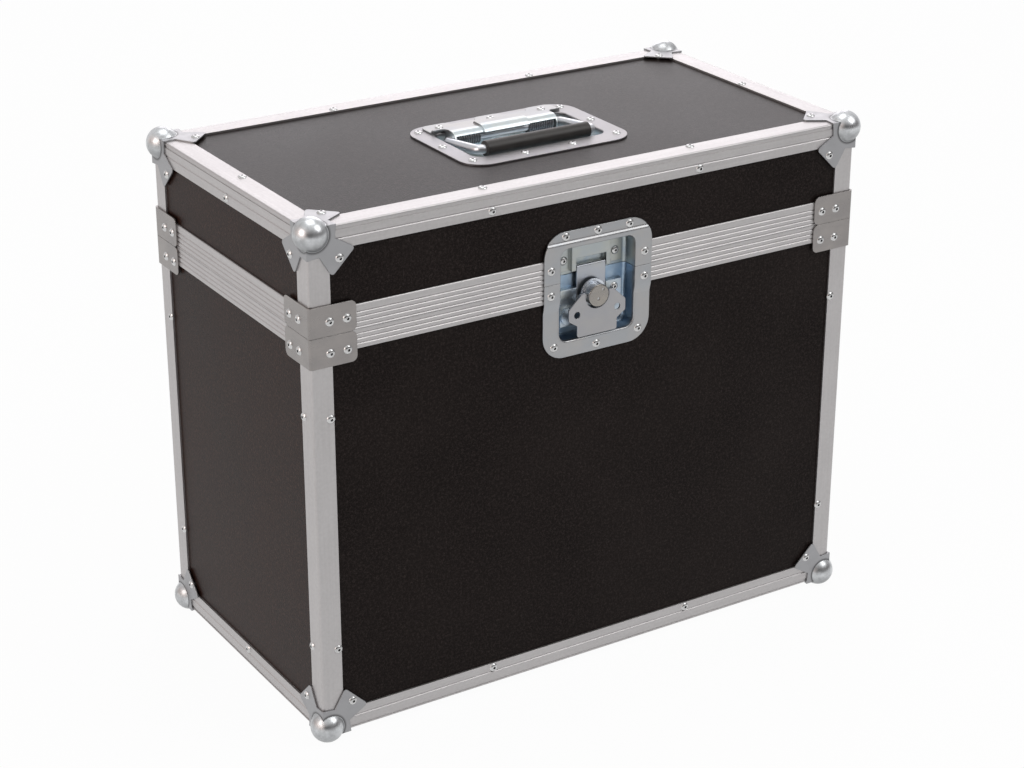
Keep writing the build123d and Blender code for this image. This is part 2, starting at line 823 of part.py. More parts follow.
# cam: an off-centre disc on the shaft that turns in the base plate
with BuildPart() as cam:
    with BuildSketch(front_plane(washer_back, knob_z)):
        with Locations((0, -cam_throw)):
            Circle(cam_radius)
    extrude(amount=-(cam_back - washer_back))
    with BuildSketch(front_plane(cam_back, knob_z)):
        Circle(shaft_radius)
    extrude(amount=-(pan_depth - cam_end_gap - cam_back))
finish(cam.part, "latch_cam")

# hook plate, lifted by the cam; its lip reaches into the slot of the catch plate
with BuildPart() as hook:
    with BuildSketch(front_plane(hook_front)):
        bar_box(-hook_half_width, hook_half_width, -hook_bottom, hook_top)
        with Locations((0, -knob_drop - cam_throw)):
            hole_half_width = cam_throw + cam_radius + cam_side_gap
            hole_half_height = cam_radius + cam_gap
            SlotOverall(2 * hole_half_width, 2 * hole_half_height, mode=Mode.SUBTRACT)
    extrude(amount=-hook_sheet)
    lip_centre = Plane(origin=(0, -half_depth + hook_front + hook_lip_radius, z_split + hook_top), z_dir=(1, 0, 0))
    with BuildSketch(lip_centre):
        Circle(hook_lip_radius)
    extrude(amount=hook_half_width, both=True)
finish(hook.part, "latch_hook")

# wing: the flat key that folds into the dish, hinged through the knob
pin_plane = Plane(origin=(0, -half_depth + pin_depth, knob_z), z_dir=(1, 0, 0))
with BuildPart() as wing:
    with BuildSketch(front_plane(wing_front, knob_z)) as outline:
        with BuildLine():
            Polyline(
                (-wing_shoulder_half, wing_shoulder_up),
                (wing_shoulder_half, wing_shoulder_up),
                (wing_ear_half, -wing_ear_top),
                (wing_ear_half, -wing_ear_bottom),
                (wing_tab_half, -wing_neck),
                (wing_tab_half, -wing_length),
                (-wing_tab_half, -wing_length),
                (-wing_tab_half, -wing_neck),
                (-wing_ear_half, -wing_ear_bottom),
                (-wing_ear_half, -wing_ear_top),
                close=True,
            )
        make_face()
        fillet(outline.vertices(), wing_corner_radius)
        Circle(wing_notch_radius, mode=Mode.SUBTRACT)
        with Locations(*[(end * wing_hole_half, -wing_hole_drop) for end in (-1, 1)]):
            Circle(wing_hole_radius, mode=Mode.SUBTRACT)
    extrude(amount=-wing_sheet)
    for end in (-1, 1):
        with BuildSketch(pin_plane.offset(end * knuckle_start)):
            Circle(knuckle_radius)
        extrude(amount=end * (wing_shoulder_half - knuckle_start))
    with BuildSketch(pin_plane):
        Circle(pin_radius + running_gap)
    extrude(amount=wing_shoulder_half + 1, both=True, mode=Mode.SUBTRACT)
finish(wing.part, "latch_wing")

with BuildPart() as wing_pin:
    with BuildSketch(pin_plane):
        Circle(pin_radius)
    extrude(amount=wing_shoulder_half - pin_end_gap, both=True)
finish(wing_pin.part, "latch_wing_pin")

# handle dish: flange on the lid, pan through it
with BuildPart() as handle_dish:
    with BuildSketch(Plane.XY.offset(z_top - skin)):
        with Locations((0, handle_y)):
            RectangleRounded(2 * handle_half_width, 2 * handle_half_depth, handle_radius)
    extrude(amount=handle_sheet)
    pan_middle = (handle_pan_front + handle_pan_back) / 2
    pan_length = handle_pan_back - handle_pan_front
    with BuildSketch(Plane.XY.offset(z_top - skin)):
        with Locations((0, pan_middle)):
            pan_outer = handle_pan_radius + handle_sheet
            RectangleRounded(2 * (handle_pan_half + handle_sheet), pan_length + 2 * handle_sheet, pan_outer)
    extrude(amount=-handle_pan_depth)
    with BuildSketch(Plane.XY.offset(handle_top)):
        with Locations((0, pan_middle)):
            RectangleRounded(2 * handle_pan_half, pan_length, handle_pan_radius)
    extrude(amount=-handle_pan_depth, mode=Mode.SUBTRACT)
    fillet(handle_dish.faces().sort_by(Axis.Z)[1].outer_wire().edges(), handle_floor_radius)
    fillet(handle_dish.faces().sort_by(Axis.Z)[0].outer_wire().edges(), handle_floor_radius + handle_sheet)
    fillet(handle_dish.faces().sort_by(Axis.Z)[-1].inner_wires()[0].edges(), handle_rim_radius)
    rivet_holes(handle_dish, lid_rivets["level"])
finish(handle_dish.part, "handle_dish")

# handle bracket: a plate with three tabs, pressed up over the pivot rod and rolled down in front,
# with an arch at each end where the arm comes out
pivot_plane = Plane(origin=(0, pivot_y, pivot_z), x_dir=(0, 1, 0), z_dir=(1, 0, 0))
bracket_seat_up = pivot_drop + handle_sheet


def hump_section(radius, mode=Mode.ADD):
    # outside of the hump, from the rolled front to the crease and down to the plate
    Circle(radius, mode=mode)
    fall_end = hump_crease + hump_fall
    corners = ((0, 0), (0, radius), (hump_crease, radius), (fall_end, bracket_seat_up), (fall_end, 0))
    Polygon(*corners, align=None, mode=mode)


def hump_hollow(radius, mode=Mode.SUBTRACT):
    # inside of the same hump, one sheet in
    slope = math.atan2(radius - bracket_seat_up, hump_fall)
    crease = hump_crease - handle_sheet * math.tan(slope / 2)
    inner = radius - handle_sheet
    Circle(inner, mode=mode)
    corners = ((0, 0), (0, inner), (crease, inner), (crease + hump_fall, pivot_drop), (crease + hump_fall, 0))
    Polygon(*corners, align=None, mode=mode)


with BuildPart() as bracket:
    for radius, half in ((hump_radius, hump_end_half), (hump_centre_radius, hump_centre_half)):
        with BuildSketch(pivot_plane.offset(-half)):
            hump_section(radius)
            hump_hollow(hump_radius)
            bar_box(-2 * radius, 0, -2 * radius, hump_lip_up, mode=Mode.SUBTRACT)
            bar_box(0, 2 * radius, -2 * radius, pivot_drop, mode=Mode.SUBTRACT)
        extrude(amount=2 * half)
    centre_inner = hump_centre_half - handle_sheet
    with BuildSketch(pivot_plane.offset(-centre_inner)):
        hump_hollow(hump_centre_radius, mode=Mode.ADD)
        bar_box(-2 * hump_radius, 2 * hump_radius, -2 * hump_radius, 0, mode=Mode.SUBTRACT)
    extrude(amount=2 * centre_inner, mode=Mode.SUBTRACT)
    with BuildSketch(Plane.XY.offset(handle_top)):
        plate_front = pivot_y + hump_crease + hump_fall - handle_sheet
        bar_box(-bracket_half, bracket_half, plate_front, bracket_waist)
        with Locations(*[(x, (plate_front + bracket_back) / 2) for x in (-bracket_rivet_x, 0, bracket_rivet_x)]):
            RectangleRounded(2 * bracket_tab_half, bracket_back - plate_front, bracket_tab_radius)
    extrude(amount=handle_sheet)
    for end in (-1, 1):
        arch_width = 2 * (bracket_half - hump_half)
        arch_depth = 2 * (arch_back - pivot_y + hump_centre_radius)
        with BuildSketch(Plane.XY.offset(pivot_z)):
            with Locations((end * (hump_half + arch_width / 2), arch_back - arch_depth / 2)):
                RectangleRounded(arch_width, arch_depth, arch_radius)
        extrude(amount=2 * hump_radius, mode=Mode.SUBTRACT)
        with BuildSketch(pivot_plane.offset(end * hump_half)):
            hump_section(hump_radius)
            pan_edge = handle_pan_back - pivot_y - cheek_gap
            bar_box(pan_edge, 2 * hump_radius, -2 * hump_radius, 2 * hump_radius, mode=Mode.SUBTRACT)
            Circle(rod_radius + running_gap, mode=Mode.SUBTRACT)
        extrude(amount=-end * cheek_thickness)
    rivet_holes(bracket, lid_rivets["level"])
finish(bracket.part, "handle_bracket")

# bail: one steel rod bent into a loop, its back side turning in the bracket
rise = grip_up + pivot_drop
bail_length = math.hypot(pivot_y - grip_y, rise)
bail_middle = (0, (pivot_y + grip_y) / 2, pivot_z + rise / 2)
bail_normal = Vector(0, rise, pivot_y - grip_y)
bail_plane = Plane(origin=bail_middle, x_dir=(1, 0, 0), z_dir=bail_normal)
with BuildPart() as bail:
    with BuildLine(bail_plane):
        half_x = bail_half_width
        half_y = bail_length / 2
        FilletPolyline((0, half_y), (half_x, half_y), (half_x, -half_y), (0, -half_y), radius=bail_bend)
    with BuildSketch(Plane(origin=(0, pivot_y, pivot_z), z_dir=(1, 0, 0))):
        Circle(rod_radius)
    sweep()
    mirror(about=Plane.YZ)
finish(bail.part, "handle_bail")

with BuildPart() as grip:
    with BuildSketch(Plane(origin=(-grip_length / 2, grip_y, handle_top + grip_up), z_dir=(1, 0, 0))):
        Circle(grip_radius)
        Circle(rod_radius, mode=Mode.SUBTRACT)
    extrude(amount=grip_length)
    fillet(grip.edges().filter_by(GeomType.CIRCLE).group_by(SortBy.RADIUS)[-1], grip_edge)
finish(grip.part, "handle_grip")


# torsion springs round the pivot rod: each quarter turn is two tangent arcs
def coil_path(x_start, handed):
    radius = rod_radius + spring_gap + spring_wire / 2
    step = spring_pitch / 4
    points = []
    headings = []
    for quarter in range(4 * spring_turns + 1):
        angle = quarter * math.pi / 2
        offset = Vector(step * quarter, radius * math.sin(angle), radius * math.cos(angle))
        heading = Vector(step * 2 / math.pi, radius * math.cos(angle), -radius * math.sin(angle))
        points.append(Vector(handed * (x_start + offset.X), pivot_y + offset.Y, pivot_z + offset.Z))
        headings.append(Vector(handed * heading.X, heading.Y, heading.Z).normalized())
    return points, headings


def biarc(start, end, start_heading, end_heading):
    chord = end - start
    turn = 2 * (start_heading.dot(end_heading) - 1)
    lean = -2 * chord.dot(start_heading + end_heading)
    reach_out = (-lean - math.sqrt(lean * lean - 4 * turn * chord.dot(chord))) / (2 * turn)
    first = start + start_heading * reach_out
    last = end - end_heading * reach_out
    middle = (first + last) / 2
    TangentArc(start, middle, tangent=start_heading)
    TangentArc(middle, end, tangent=(middle - first).normalized())


def torsion_spring(handed):
    points, headings = coil_path(spring_start, handed)
    with BuildPart() as coil:
        with BuildLine():
            for index in range(len(points) - 1):
                biarc(points[index], points[index + 1], headings[index], headings[index + 1])
        with BuildSketch(Plane(origin=points[0], z_dir=headings[0])):
            Circle(spring_wire / 2)
        sweep()
    return coil.part


finish(torsion_spring(1), "handle_right_spring")
finish(torsion_spring(-1), "handle_left_spring")
coil_points, _ = coil_path(spring_start, 1)
next_turn = [
    (coil_points[first] - coil_points[other]).length
    for first in range(len(coil_points))
    for other in range(first + 4, len(coil_points))
]
print("least gap between spring turns", round(min(next_turn) - spring_wire, 3))


# stop hinges on the back: leaves, knuckles, and a lug that stops the lid
def hinge_leaf(x, facing, knuckles, rivets):
    axis = Plane(origin=(x, hinge_y, z_split), x_dir=(0, 1, 0), z_dir=(1, 0, 0))
    with BuildPart() as leaf:
        with BuildSketch(face_plane("back", -x, z_split)):
            start = facing * (hinge_knuckle_radius + hinge_knuckle_gap)
            bar_box(-hinge_half_width, hinge_half_width, start, facing * hinge_leaf_height)
        extrude(amount=hinge_leaf_sheet)
        fillet(leaf.edges().filter_by(Axis.Y).group_by(Axis.Z)[-1 if facing > 0 else 0], hinge_leaf_radius)
        for x0, x1 in knuckles:
            with BuildSketch(axis.offset(x0)):
                bar_box(-hinge_axis_out, hinge_leaf_sheet - hinge_axis_out, 0, 2 * facing * hinge_knuckle_radius)
                Circle(hinge_knuckle_radius)
            extrude(amount=x1 - x0)
        with BuildSketch(axis):
            Circle(hinge_pin_radius + running_gap)
        extrude(amount=hinge_half_width, both=True, mode=Mode.SUBTRACT)
        if facing > 0:
            lean = math.radians(hinge_stop_angle - 90)
            lug = Plane(origin=axis.origin, x_dir=(0, math.cos(lean), math.sin(lean)), z_dir=(1, 0, 0))
            with BuildSketch(lug.offset(-hinge_lug_half)):
                face = hinge_axis_out - hinge_leaf_sheet - hinge_stop_gap
                bar_box(hinge_pin_radius + 1, hinge_stop_reach, -face, hinge_stop_sheet - face)
            extrude(amount=2 * hinge_lug_half)
        rivet_holes(leaf, rivets)
    return leaf.part


for name, x in (("left", -hinge_x), ("right", hinge_x)):
    middle = ((-hinge_centre_half, hinge_centre_half),)
    outer_start = hinge_centre_half + hinge_knuckle_gap
    ends = ((-hinge_half_width, -outer_start), (outer_start, hinge_half_width))
    finish(hinge_leaf(x, -1, ends, body_rivets["back"]), f"hinge_{name}_body_leaf")
    finish(hinge_leaf(x, 1, middle, lid_rivets["back"]), f"hinge_{name}_lid_leaf")

with BuildPart() as hinge_pins:
    for x in (-hinge_x, hinge_x):
        with BuildSketch(Plane(origin=(x, hinge_y, z_split), z_dir=(1, 0, 0))):
            Circle(hinge_pin_radius)
        extrude(amount=hinge_half_width, both=True)
finish(hinge_pins.part, "hinge_pins")

# foam linings
foam_low = z_bottom + inner_flange + foam_gap
foam_high = z_split - body_rail_height - foam_gap
pad_inset = slot + wall_foam + foam_gap
pad_x = half_width - pad_inset
pad_y = half_depth - pad_inset
lid_pad_top = z_top - slot

with BuildPart() as foam_base:
    block(-pad_x, pad_x, -pad_y, pad_y, z_bottom + slot, z_bottom + slot + base_foam)
finish(foam_base.part, "foam_base_pad")

with BuildPart() as foam_lid:
    block(-pad_x, pad_x, -pad_y, pad_y, lid_pad_top - lid_foam, lid_pad_top)
    x_cut = handle_pan_half + handle_sheet + foam_gap
    front_cut = handle_pan_front - handle_sheet - foam_gap
    back_cut = handle_pan_back + handle_sheet + foam_gap
    block(-x_cut, x_cut, front_cut, back_cut, lid_pad_top - lid_foam, lid_pad_top, mode=Mode.SUBTRACT)
finish(foam_lid.part, "foam_lid_pad")

for side in sides:
    end = slot if side in ("left", "right") else slot + wall_foam + foam_gap
    with BuildPart() as lining:
        with BuildSketch(section_plane(side, foam_low)):
            bar_box(slot, slot + wall_foam, 0, foam_high - foam_low)
        extrude(amount=half_run[side] - end, both=True)
        if side == "front":
            x_cut = pan_half_width + dish_sheet + foam_gap
            low_cut = z_split - pan_bottom - dish_sheet - foam_gap
            block(-x_cut, x_cut, -half_depth, 0, low_cut, z_split, mode=Mode.SUBTRACT)
    finish(lining.part, f"foam_{side}_lining")
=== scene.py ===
import json
import math
import bpy
from mathutils import Matrix, Vector


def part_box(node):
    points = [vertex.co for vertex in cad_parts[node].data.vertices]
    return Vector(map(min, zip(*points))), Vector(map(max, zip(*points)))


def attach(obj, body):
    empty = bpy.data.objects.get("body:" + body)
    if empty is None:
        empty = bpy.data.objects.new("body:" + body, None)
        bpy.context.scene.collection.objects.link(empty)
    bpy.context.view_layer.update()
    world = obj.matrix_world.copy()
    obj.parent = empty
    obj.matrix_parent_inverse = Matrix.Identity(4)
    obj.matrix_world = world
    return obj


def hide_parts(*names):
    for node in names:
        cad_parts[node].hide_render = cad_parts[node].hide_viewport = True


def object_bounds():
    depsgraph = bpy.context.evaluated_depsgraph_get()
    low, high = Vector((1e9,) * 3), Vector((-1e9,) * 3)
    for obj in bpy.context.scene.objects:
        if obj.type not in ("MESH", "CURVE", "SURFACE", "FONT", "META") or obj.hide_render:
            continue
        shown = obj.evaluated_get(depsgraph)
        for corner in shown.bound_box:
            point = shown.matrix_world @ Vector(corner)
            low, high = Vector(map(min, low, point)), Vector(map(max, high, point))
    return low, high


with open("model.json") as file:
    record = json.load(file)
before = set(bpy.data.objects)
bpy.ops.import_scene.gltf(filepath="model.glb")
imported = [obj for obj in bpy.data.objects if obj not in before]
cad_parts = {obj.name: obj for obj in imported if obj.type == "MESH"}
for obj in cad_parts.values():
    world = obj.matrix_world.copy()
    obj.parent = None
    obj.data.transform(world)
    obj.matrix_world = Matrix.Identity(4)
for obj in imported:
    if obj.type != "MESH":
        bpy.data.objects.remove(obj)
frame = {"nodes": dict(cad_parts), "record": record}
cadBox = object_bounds()
print("frame loaded:", len(frame["nodes"]), "nodes")


class Wire:  # one shader socket, so that sums on it read as sums
    def __init__(self, finish, socket):
        self.finish = finish
        self.socket = socket

    def sum(self, operation, first, second=None):
        values = {0: first} if second is None else {0: first, 1: second}
        return self.finish.add("ShaderNodeMath", {"operation": operation}, values)

    def __add__(self, other):
        return self.sum("ADD", self, other)

    def __radd__(self, other):
        return self.sum("ADD", other, self)

    def __sub__(self, other):
        return self.sum("SUBTRACT", self, other)

    def __rsub__(self, other):
        return self.sum("SUBTRACT", other, self)

    def __mul__(self, other):
        return self.sum("MULTIPLY", self, other)

    def __rmul__(self, other):
        return self.sum("MULTIPLY", other, self)

    def __pow__(self, other):
        return self.sum("POWER", self, other)

    def __abs__(self):
        return self.sum("ABSOLUTE", self)

    def top(self, other):
        return self.sum("MAXIMUM", self, other)


class Finish:  # a material, or the world, and what feeds it
    def __init__(self, name, tree=None):
        self.name = name
        self.material = None
        if tree is None:
            self.material = bpy.data.materials.new(name)
            self.material.use_nodes = True
            tree = self.material.node_tree
        self.tree = tree
        tree.nodes.clear()

    def add(self, kind, settings=None, inputs=None, out=0):
        node = self.tree.nodes.new(kind)
        for key, value in (settings or {}).items():
            setattr(node, key, value)
        for key, value in (inputs or {}).items():
            if isinstance(value, Wire):
                self.tree.links.new(value.socket, node.inputs[key])
            else:
                node.inputs[key].default_value = value
        return Wire(self, node.outputs[out] if len(node.outputs) else None)

    def place(self):
        return self.add("ShaderNodeTexCoord", out="Object")

    def parts(self, vector):
        node = self.add("ShaderNodeSeparateXYZ", None, {0: vector}).socket.node
        return [Wire(self, socket) for socket in node.outputs]

    def noise(self, scale, detail=3.0, rough=0.5, at=None, stretch=None):
        where = at or self.place()
        if stretch:
            where = self.add("ShaderNodeVectorMath", {"operation": "MULTIPLY"}, {0: where, 1: stretch})
        inputs = {"Vector": where, "Scale": scale, "Detail": detail, "Roughness": rough}
        return self.add("ShaderNodeTexNoise", {"noise_dimensions": "3D"}, inputs)

    def cells(self, scale, feature="DISTANCE_TO_EDGE", at=None):
        inputs = {"Vector": at or self.place(), "Scale": scale}
        return self.add("ShaderNodeTexVoronoi", {"feature": feature}, inputs)

    def span(self, value, low, high, start=0.0, end=1.0):
        inputs = {"Value": value, "From Min": low, "From Max": high, "To Min": start, "To Max": end}
        return self.add("ShaderNodeMapRange", {"clamp": True}, inputs)

    def blend(self, share, first, second):
        first = (*first, 1) if isinstance(first, tuple) else first
        second = (*second, 1) if isinstance(second, tuple) else second
        return self.add("ShaderNodeMix", {"data_type": "RGBA"}, {0: share, 6: first, 7: second}, out=2)

    def bump(self, height, strength=0.3, distance=0.0002, under=None):
        inputs = {"Strength": strength, "Distance": distance, "Height": height}
        if under:
            inputs["Normal"] = under
        return self.add("ShaderNodeBump", None, inputs)

    def worn(self, radius):  # edges rounded by a hair, so that they catch the light
        return self.add("ShaderNodeBevel", {"samples": 4}, {"Radius": radius})

    def around(self, value, amount):  # how far a noise is from its middle
        return (value - 0.5) * amount

    def surface(self, **inputs):
        named = {key.replace("_", " "): value for key, value in inputs.items()}
        shader = self.add("ShaderNodeBsdfPrincipled", None, named)
        self.add("ShaderNodeOutputMaterial", None, {0: shader})
        return self.material


# the film on the boards: very dark brown, with a fine pressed grain that shows as pale specks
board = dict(
    dark=(0.0075, 0.0049, 0.0044), pale=(0.050, 0.0385, 0.0355), rough=0.30, gloss=0.056,
    grain=520.0, speck=1100.0, drift=420.0, cloud=9.0, contrast=1.6, specks=0.8, clouds=0.12, uneven=0.10,
    relief=0.40, depth=0.00015,
)
warmLitTone = (1.45, 0.90, 0.70)  # on the two ends the film is tinted redder: painted warm light on the sides


def makeBoard(name, tone=(1.0, 1.0, 1.0)):
    f = Finish(name)
    grain = f.cells(board["grain"])
    speck = f.noise(board["speck"], 3.0, 0.7)
    drift = f.noise(board["drift"], 2.0, 0.6)
    cloud = f.noise(board["cloud"], 4.0, 0.55)
    share = f.span(speck * 0.6 + drift * 0.4, 0.44, 0.66) ** board["contrast"]
    dark, pale = (tuple(value * part for value, part in zip(board[key], tone)) for key in ("dark", "pale"))
    colour = f.blend(share * board["specks"] + f.span(cloud, 0.35, 0.7) * board["clouds"], dark, pale)
    rough = board["rough"] + f.around(speck, board["uneven"]) + f.around(cloud, board["uneven"])
    height = f.span(grain, 0.0, 0.25) * 0.6 + speck * 0.6
    normal = f.bump(height, board["relief"], board["depth"])
    return f.surface(Base_Color=colour, Roughness=rough, Specular_IOR_Level=board["gloss"], Normal=normal)


# anodised aluminium: faint drawn lines run along each bar, over a soft mottle
bar = dict(
    colour=(0.49, 0.475, 0.475), shade=(0.42, 0.405, 0.405), rough=0.40, metal=0.86, drawn=45.0,
    line=12.0, cloud=22.0, mottle=380.0, relief=0.05, depth=0.0001, edge=0.0003,
)


def makeBar(name, axis):
    f = Finish(name)
    stretch = tuple(1.0 if i == axis else bar["drawn"] for i in range(3))
    lines = f.noise(bar["line"], 2.0, 0.5, stretch=stretch)
    cloud = f.noise(bar["cloud"], 3.0, 0.5)
    mottle = f.noise(bar["mottle"], 3.0, 0.6)
    share = f.span(lines, 0.35, 0.7) * 0.25 + f.span(cloud, 0.35, 0.7) * 0.25 + f.span(mottle, 0.35, 0.7) * 0.35
    colour = f.blend(share, bar["colour"], bar["shade"])
    rough = bar["rough"] + f.around(lines, 0.08) + f.around(mottle, 0.12)
    normal = f.bump(lines * 0.3 + mottle * 0.5, bar["relief"], bar["depth"], f.worn(bar["edge"]))
    return f.surface(Base_Color=colour, Roughness=rough, Metallic=bar["metal"], Normal=normal)


# zinc plate on the pressed steel: grey with patches, and where a zone is given, its own colour there: bluer inside
# the latch's pans, painted light inside the handle's pan, and a painted highlight on the bracket's rolled front
# and the knob's side
zinc = dict(
    cool=(0.345, 0.355, 0.37), warm=(0.375, 0.37, 0.37), rough=0.34, metal=0.95, relief=0.08, depth=0.00015,
    patch=45.0, fine=700.0, streak=25.0, tint=70.0, straw=(0.52, 0.53, 0.42), straws=38.0, edge=0.0008,
)


def makeZinc(name, shift=0.0, tintAndLight=None, **own):  # own: the piece's own values, in place of the general ones
    look = {**zinc, **own}
    f = Finish(name)
    where = f.add("ShaderNodeVectorMath", {"operation": "ADD"}, {0: f.place(), 1: (shift, shift, shift)})
    patch = f.noise(look["patch"], 3.0, 0.55, at=where)
    fine = f.noise(look["fine"], 2.0, 0.6, at=where)
    streak = f.noise(look["streak"], 4.0, 0.6, at=where, stretch=(1.0, 1.0, 9.0))
    share = f.span(patch * 0.7 + streak * 0.3, 0.40, 0.62)
    colour = f.blend(share, look["cool"], look["warm"])
    rough = look["rough"] + f.around(fine, 0.10) + f.around(streak, 0.14)
    # the zone's colour: a blue tint in the latch's pans, painted light in the handle's pan, a painted highlight on
    # the bracket's roll and the knob's side
    if tintAndLight:
        tintAndLightMask = f.span(f.parts(f.place())[tintAndLight["axis"]], tintAndLight["lip"], tintAndLight["floor"])
        tint = f.blend(f.span(f.noise(look["tint"], 2.0, 0.5, at=where), 0.4, 0.62), tintAndLight["deep"], tintAndLight["pale"])
        straws = f.span(f.noise(look["straws"], 2.0, 0.5, at=where), 0.56, 0.70) * 0.5
        colour = f.blend(tintAndLightMask * 0.95, colour, f.blend(straws, tint, look["straw"]))
        rough = rough + tintAndLightMask * tintAndLight["dull"]
    normal = f.bump(fine * 0.4 + patch * 0.4, look["relief"], look["depth"], f.worn(look["edge"]))
    return f.surface(Base_Color=colour, Roughness=rough, Metallic=look["metal"], Normal=normal)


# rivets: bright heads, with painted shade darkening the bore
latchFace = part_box("latch_lower_dish")[0][1]
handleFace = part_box("handle_dish")[1][2]
rivet = dict(
    bright=(0.62, 0.62, 0.62), worn=(0.50, 0.50, 0.50), bore=(0.006, 0.006, 0.007), openBore=(0.30, 0.30, 0.31),
    rough=0.26, metal=0.95, reach=0.0024, cloud=240.0, fine=900.0, relief=0.05, depth=0.0001,
)


def makeRivet():
    f = Finish("rivetSteel")
    cloud = f.noise(rivet["cloud"], 3.0, 0.55)
    fine = f.noise(rivet["fine"], 2.0, 0.6)
    near = {"samples": 8, "only_local": True}
    aoShade = f.add("ShaderNodeAmbientOcclusion", near, {"Distance": rivet["reach"]}, "AO")
    colour = f.blend(f.span(cloud, 0.35, 0.65), rivet["bright"], rivet["worn"])
    onTop = f.span(f.parts(f.place())[2], handleFace - 0.004, handleFace - 0.001)
    bore = f.blend(onTop, rivet["bore"], rivet["openBore"])  # the painted bore shade is lighter on those on the lid's top, which get light from above
    # painted shade: where ambient occlusion finds a recess, the bore is painted dark
    colour = f.blend(f.span(aoShade, 0.28, 0.70), bore, colour)
    rough = rivet["rough"] + f.around(fine, 0.10)
    normal = f.bump(fine, rivet["relief"], rivet["depth"])
    return f.surface(Base_Color=colour, Roughness=rough, Metallic=rivet["metal"], Normal=normal)


# ball corners: polished on the ball, dull on its legs, with painted shade in the crease between them and on the
# ball's lower half
ball = dict(
    inset=0.0062, radius=0.0143, bright=(0.64, 0.655, 0.67), smoke=(0.25, 0.255, 0.26),
    dull=(0.335, 0.335, 0.345), crease=(0.015, 0.015, 0.015), rough=0.33, legRough=0.04, metal=0.95,
    cloud=60.0, scuff=150.0, fine=800.0, relief=0.12, depth=0.0003, edge=0.0009,
)


def makeBall(name, zEdge, facing):
    f = Finish(name)
    stand = frame["record"]["mounts"][0]["pos_m"]  # under one ball
    centre = (abs(stand[0]), abs(stand[1]), zEdge + facing * ball["inset"])
    x, y, z = f.parts(f.place())
    away = ((abs(x) - centre[0]) ** 2.0 + (abs(y) - centre[1]) ** 2.0 + (z - centre[2]) ** 2.0) ** 0.5
    onLeg = f.span(away, ball["radius"] + 0.0001, ball["radius"] + 0.0006)
    # painted shade: a dark ring where the legs meet the ball
    crease = f.span(away, ball["radius"] + 0.0002, ball["radius"] + 0.0024, 1.0, 0.0) * onLeg
    cloud = f.noise(ball["cloud"], 3.0, 0.55)
    fine = f.noise(ball["fine"], 2.0, 0.6)
    scuff = f.noise(ball["scuff"], 4.0, 0.65)
    colour = f.blend(onLeg, ball["bright"], ball["dull"])
    # the same dark colour serves for random smudges here and for the painted shade below
    colour = f.blend(f.span(cloud * 0.5 + scuff * 0.5, 0.42, 0.66) * 0.75 * (1 - onLeg), colour, ball["smoke"])
    colour = f.blend(crease * 0.95, colour, ball["crease"])
    lowerShade = f.span(z - centre[2], 0.001, -0.008) * (1 - onLeg)  # painted shade: the ball is painted darker on its lower half
    colour = f.blend(lowerShade * 0.7, colour, ball["smoke"])
    rough = ball["rough"] + onLeg * ball["legRough"]
    rough = rough + f.around(fine, 0.10) + f.around(cloud, 0.20) + f.around(scuff, 0.20)
    height = fine * 0.4 + cloud + scuff * 0.5
    normal = f.bump(height, ball["relief"], ball["depth"], f.worn(ball["edge"]))
    return f.surface(Base_Color=colour, Roughness=rough, Metallic=ball["metal"], Normal=normal)


# black grip of soft rubber
grip = dict(
    colour=(0.014, 0.0114, 0.0102), pale=(0.030, 0.0252, 0.0228), rough=0.46, uneven=0.2,
    cloud=60.0, fine=1800.0, relief=0.25, depth=0.0001,
)


def makeGrip():
    f = Finish("gripRubber")
    cloud = f.noise(grip["cloud"], 3.0, 0.6)
    fine = f.noise(grip["fine"], 2.0, 0.6)
    colour = f.blend(f.span(cloud, 0.35, 0.7), grip["colour"], grip["pale"])
    rough = grip["rough"] + f.around(cloud, grip["uneven"])
    return f.surface(Base_Color=colour, Roughness=rough, Normal=f.bump(fine, grip["relief"], grip["depth"]))


# open-cell foam, dark grey
foam = dict(
    colour=(0.020, 0.020, 0.022), pale=(0.050, 0.050, 0.053), rough=0.95, gloss=0.15, cell=420.0, cloud=35.0,
    relief=0.7, depth=0.0008, voxel=0.005, soften=3, softness=0.5, fill=0.95,
)


def makeFoam():
    f = Finish("openFoam")
    pore = f.cells(foam["cell"], "F1")
    cloud = f.noise(foam["cloud"], 3.0, 0.6)
    share = f.span(pore, 0.15, 0.6) * 0.7 + f.span(cloud, 0.35, 0.7) * 0.3
    colour = f.blend(share, foam["colour"], foam["pale"])
    normal = f.bump(pore + cloud * 0.4, foam["relief"], foam["depth"])
    return f.surface(Base_Color=colour, Roughness=foam["rough"], Specular_IOR_Level=foam["gloss"], Normal=normal)


boardFilm = makeBoard("boardFilm")
# painted light: the ends get a warm-tinted copy of the board film
endFilm = makeBoard("endFilm", warmLitTone)
barAlongX = makeBar("barAlongX", 0)
barAlongY = makeBar("barAlongY", 1)
barAlongZ = makeBar("barAlongZ", 2)
# beyond a lip the plate gets the zone's colour: bluer inside the latch's pans, painted light inside the handle's
# pan, and a painted highlight on the bracket's rolled front and the knob's side
latchLip = dict(axis=1, lip=latchFace + 0.0030, floor=latchFace + 0.006)
latchPan = dict(deep=(0.28, 0.39, 0.52), pale=(0.40, 0.50, 0.60), dull=0.02, **latchLip)
catchPan = dict(deep=(0.34, 0.40, 0.45), pale=(0.42, 0.46, 0.45), dull=0.04, **latchLip)
# painted light: the inside of the handle's pan is painted much paler than its flange
handlePanLight = dict(
    axis=2, lip=handleFace - 0.0015, floor=handleFace - 0.0045,
    deep=(0.66, 0.76, 0.82), pale=(0.84, 0.89, 0.91), dull=0.16,
)
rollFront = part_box("handle_bracket")[0][1]
